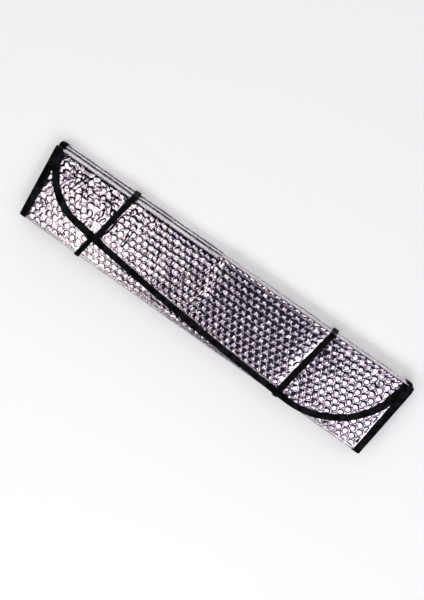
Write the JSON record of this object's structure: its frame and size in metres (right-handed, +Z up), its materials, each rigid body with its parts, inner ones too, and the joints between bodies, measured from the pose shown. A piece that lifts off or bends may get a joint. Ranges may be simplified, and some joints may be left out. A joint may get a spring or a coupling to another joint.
{
  "type": "folding windscreen sunshade",
  "caption": "Folded concertina windscreen sunshade of foil-faced bubble film, edged with woven tape and held shut by elastic bands.",
  "frame": {"origin": "centre of the folded pack's bounding box, on the surface it lies on", "axes": "+X along the folded pack towards the end with the larger rounded corner, +Y towards the side of the top panel's fold, +Z up through the stack"},
  "size_m": [0.6, 0.1276, 0.0316],
  "materials": {
    "bubble_film": "clear polyethylene film with closed air bubbles",
    "front_foil": "bright metallised film over round bubbles",
    "back_foil": "bright metallised film over round bubbles, with a faint violet cast",
    "pressed_crease": "metallised film crushed flat along a fold",
    "binding_tape": "black woven polyester tape, folded and sewn",
    "elastic": "black ribbed braided elastic"
  },
  "bodies": {
    "panel_01": {"panel_01_bubble_core": "bubble_film", "panel_01_front_foil": "front_foil", "panel_01_back_foil": "back_foil", "panel_01_edge_binding": "binding_tape", "crease_01": "pressed_crease"},
    "panel_02": {"panel_02_bubble_core": "bubble_film", "panel_02_front_foil": "front_foil", "panel_02_back_foil": "back_foil", "panel_02_end_bindings": "binding_tape", "crease_02": "pressed_crease"},
    "panel_03": {"panel_03_bubble_core": "bubble_film", "panel_03_front_foil": "front_foil", "panel_03_back_foil": "back_foil", "panel_03_end_bindings": "binding_tape", "crease_03": "pressed_crease"},
    "panel_04": {"panel_04_bubble_core": "bubble_film", "panel_04_front_foil": "front_foil", "panel_04_back_foil": "back_foil", "panel_04_end_bindings": "binding_tape", "crease_04": "pressed_crease"},
    "panel_05": {"panel_05_bubble_core": "bubble_film", "panel_05_front_foil": "front_foil", "panel_05_back_foil": "back_foil", "panel_05_end_bindings": "binding_tape", "crease_05": "pressed_crease"},
    "panel_06": {"panel_06_bubble_core": "bubble_film", "panel_06_front_foil": "front_foil", "panel_06_back_foil": "back_foil", "panel_06_end_bindings": "binding_tape", "crease_06": "pressed_crease"},
    "panel_07": {"panel_07_bubble_core": "bubble_film", "panel_07_front_foil": "front_foil", "panel_07_back_foil": "back_foil", "panel_07_end_bindings": "binding_tape", "crease_07": "pressed_crease"},
    "panel_08": {"panel_08_bubble_core": "bubble_film", "panel_08_front_foil": "front_foil", "panel_08_back_foil": "back_foil", "panel_08_end_bindings": "binding_tape", "crease_08": "pressed_crease"},
    "panel_09": {"panel_09_bubble_core": "bubble_film", "panel_09_front_foil": "front_foil", "panel_09_back_foil": "back_foil", "panel_09_end_bindings": "binding_tape", "crease_09": "pressed_crease"},
    "panel_10": {"panel_10_bubble_core": "bubble_film", "panel_10_front_foil": "front_foil", "panel_10_back_foil": "back_foil", "panel_10_edge_binding": "binding_tape", "band_tab_left": "elastic", "band_tab_right": "elastic"},
    "elastic_band_left": {"elastic_band_left": "elastic"},
    "elastic_band_right": {"elastic_band_right": "elastic"}
  },
  "joints": [
    {"name": "fold_1", "type": "hinge", "parent": "panel_01", "child": "panel_02", "pos_m": [0, 0.0608, 0.003], "axis": [-1, 0, 0], "range_deg": [0, 180], "deforming": ["crease_01"]},
    {"name": "fold_2", "type": "hinge", "parent": "panel_02", "child": "panel_03", "pos_m": [0, -0.0608, 0.0062], "axis": [1, 0, 0], "range_deg": [0, 180], "deforming": ["crease_02"]},
    {"name": "fold_3", "type": "hinge", "parent": "panel_03", "child": "panel_04", "pos_m": [0, 0.0608, 0.0094], "axis": [-1, 0, 0], "range_deg": [0, 180], "deforming": ["crease_03"]},
    {"name": "fold_4", "type": "hinge", "parent": "panel_04", "child": "panel_05", "pos_m": [0, -0.0608, 0.0126], "axis": [1, 0, 0], "range_deg": [0, 180], "deforming": ["crease_04"]},
    {"name": "fold_5", "type": "hinge", "parent": "panel_05", "child": "panel_06", "pos_m": [0, 0.0608, 0.0158], "axis": [-1, 0, 0], "range_deg": [0, 180], "deforming": ["crease_05"]},
    {"name": "fold_6", "type": "hinge", "parent": "panel_06", "child": "panel_07", "pos_m": [0, -0.0608, 0.019], "axis": [1, 0, 0], "range_deg": [0, 180], "deforming": ["crease_06"]},
    {"name": "fold_7", "type": "hinge", "parent": "panel_07", "child": "panel_08", "pos_m": [0, 0.0608, 0.0222], "axis": [-1, 0, 0], "range_deg": [0, 180], "deforming": ["crease_07"]},
    {"name": "fold_8", "type": "hinge", "parent": "panel_08", "child": "panel_09", "pos_m": [0, -0.0608, 0.0254], "axis": [1, 0, 0], "range_deg": [0, 180], "deforming": ["crease_08"]},
    {"name": "fold_9", "type": "hinge", "parent": "panel_09", "child": "panel_10", "pos_m": [0, 0.0608, 0.0286], "axis": [-1, 0, 0], "range_deg": [0, 180], "deforming": ["crease_09"]},
    {"name": "band_left_off", "type": "slide", "parent": "panel_10", "child": "elastic_band_left", "axis": [-1, 0, 0], "range_m": [0, 0.158], "deforming": ["elastic_band_left"]},
    {"name": "band_right_off", "type": "slide", "parent": "panel_10", "child": "elastic_band_right", "axis": [1, 0, 0], "range_m": [0, 0.158], "deforming": ["elastic_band_right"]}
  ],
  "couplings": [
    {"joint": "fold_2", "follows": "fold_1", "ratio": 1},
    {"joint": "fold_3", "follows": "fold_1", "ratio": 1},
    {"joint": "fold_4", "follows": "fold_1", "ratio": 1},
    {"joint": "fold_5", "follows": "fold_1", "ratio": 1},
    {"joint": "fold_6", "follows": "fold_1", "ratio": 1},
    {"joint": "fold_7", "follows": "fold_1", "ratio": 1},
    {"joint": "fold_8", "follows": "fold_1", "ratio": 1},
    {"joint": "fold_9", "follows": "fold_1", "ratio": 1}
  ]
}
